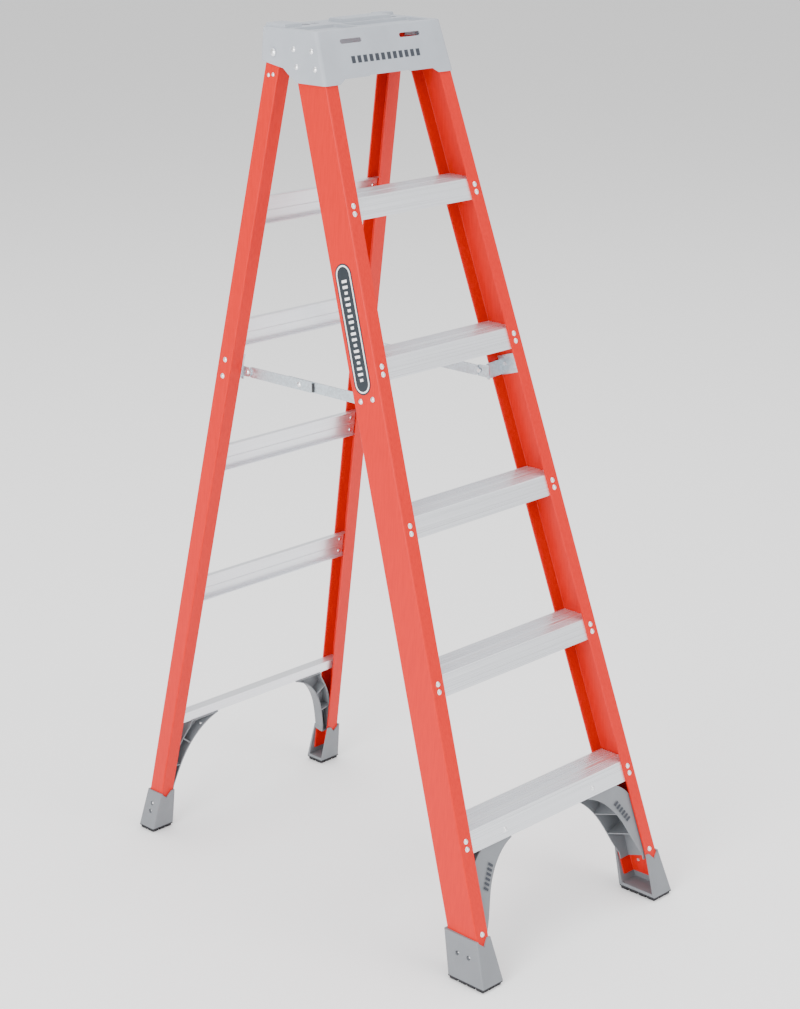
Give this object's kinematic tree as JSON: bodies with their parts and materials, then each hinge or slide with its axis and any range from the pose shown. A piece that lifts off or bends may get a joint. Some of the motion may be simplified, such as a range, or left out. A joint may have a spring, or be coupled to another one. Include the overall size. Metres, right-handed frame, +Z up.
{
  "type": "platform step ladder",
  "caption": "Folding step ladder with fibreglass channel rails, aluminium treads, a moulded top cap, hinged rear section, spreaders and rubber-soled shoes.",
  "frame": {"origin": "on the floor at the centre of the footprint of the four shoes", "axes": "+Z up, +X to the right seen from the tread side, treads face -Y"},
  "size_m": [0.5806, 1.0362, 1.768],
  "materials": {
    "brace_aluminium": "mill finish",
    "cap_plastic": "moulded, fine grain",
    "label_vinyl": "printed sticker, plain bars",
    "pad_rubber": "moulded tread",
    "rail_fibreglass": "pultruded fibreglass, satin gloss, orange red",
    "rivet_steel": "bright domed rivets",
    "shoe_plastic": "moulded, fine grain",
    "spreader_steel": "galvanised sheet",
    "stop_plastic": "black",
    "tread_aluminium": "mill finish, ribbed"
  },
  "bodies": {
    "front_section": {"cap_rivets": "rivet_steel", "front_bracket_rivets": "rivet_steel", "front_knee_brace_rivets": "rivet_steel", "front_left_knee_brace": "shoe_plastic", "front_left_rail": "rail_fibreglass", "front_left_shoe": "shoe_plastic", "front_left_tread_pad": "pad_rubber", "front_right_knee_brace": "shoe_plastic", "front_right_rail": "rail_fibreglass", "front_right_shoe": "shoe_plastic", "front_right_tread_pad": "pad_rubber", "front_shoe_rivets": "rivet_steel", "front_spreader_pivots": "rivet_steel", "hinge_pins": "rivet_steel", "left_front_spreader_bracket": "spreader_steel", "left_rail_label": "label_vinyl", "right_front_spreader_bracket": "spreader_steel", "right_rail_label": "label_vinyl", "step_1": "tread_aluminium", "step_2": "tread_aluminium", "step_3": "tread_aluminium", "step_4": "tread_aluminium", "step_5": "tread_aluminium", "step_rivets": "rivet_steel", "top_cap": "cap_plastic"},
    "rear_section": {"hinge_plate_rivets": "rivet_steel", "left_hinge_plate": "spreader_steel", "left_rear_spreader_bracket": "spreader_steel", "rear_brace_1": "brace_aluminium", "rear_brace_2": "brace_aluminium", "rear_brace_3": "brace_aluminium", "rear_brace_4": "brace_aluminium", "rear_brace_5": "brace_aluminium", "rear_brace_rivets": "rivet_steel", "rear_bracket_rivets": "rivet_steel", "rear_knee_brace_rivets": "rivet_steel", "rear_left_knee_brace": "shoe_plastic", "rear_left_rail": "rail_fibreglass", "rear_left_shoe": "shoe_plastic", "rear_left_tread_pad": "pad_rubber", "rear_right_knee_brace": "shoe_plastic", "rear_right_rail": "rail_fibreglass", "rear_right_shoe": "shoe_plastic", "rear_right_tread_pad": "pad_rubber", "rear_shoe_rivets": "rivet_steel", "rear_spreader_pivots": "rivet_steel", "right_hinge_plate": "spreader_steel", "right_rear_spreader_bracket": "spreader_steel"},
    "left_front_arm": {"left_middle_pivot_tail": "rivet_steel", "left_spreader_front_arm": "spreader_steel"},
    "left_rear_arm": {"left_middle_pivot_head": "rivet_steel", "left_spreader_rear_arm": "spreader_steel", "left_spreader_stop": "stop_plastic"},
    "right_front_arm": {"right_middle_pivot_tail": "rivet_steel", "right_spreader_front_arm": "spreader_steel"},
    "right_rear_arm": {"right_middle_pivot_head": "rivet_steel", "right_spreader_rear_arm": "spreader_steel", "right_spreader_stop": "stop_plastic"}
  },
  "joints": [
    {"name": "rear_fold", "type": "hinge", "parent": "front_section", "child": "rear_section", "pos_m": [0, 0.15955, 1.7135], "axis": [-1, 0, 0], "range_deg": [0, 28.77]},
    {"name": "left_front_arm_fold", "type": "hinge", "parent": "front_section", "child": "left_front_arm", "pos_m": [-0.1628, -0.07695, 1.067], "axis": [1, 0, 0], "range_deg": [0, 73.24]},
    {"name": "left_rear_arm_fold", "type": "hinge", "parent": "rear_section", "child": "left_rear_arm", "pos_m": [-0.1657, 0.25605, 1.065], "axis": [-1, 0, 0], "range_deg": [0, 78.28]},
    {"name": "right_front_arm_fold", "type": "hinge", "parent": "front_section", "child": "right_front_arm", "pos_m": [0.1628, -0.07695, 1.067], "axis": [1, 0, 0], "range_deg": [0, 73.24]},
    {"name": "right_rear_arm_fold", "type": "hinge", "parent": "rear_section", "child": "right_rear_arm", "pos_m": [0.1657, 0.25605, 1.065], "axis": [-1, 0, 0], "range_deg": [0, 78.28]}
  ],
  "couplings": [
    {"joint": "left_front_arm_fold", "follows": "rear_fold", "ratio": 2.5454},
    {"joint": "left_rear_arm_fold", "follows": "rear_fold", "ratio": 2.7208},
    {"joint": "right_front_arm_fold", "follows": "rear_fold", "ratio": 2.5454},
    {"joint": "right_rear_arm_fold", "follows": "rear_fold", "ratio": 2.7208}
  ]
}
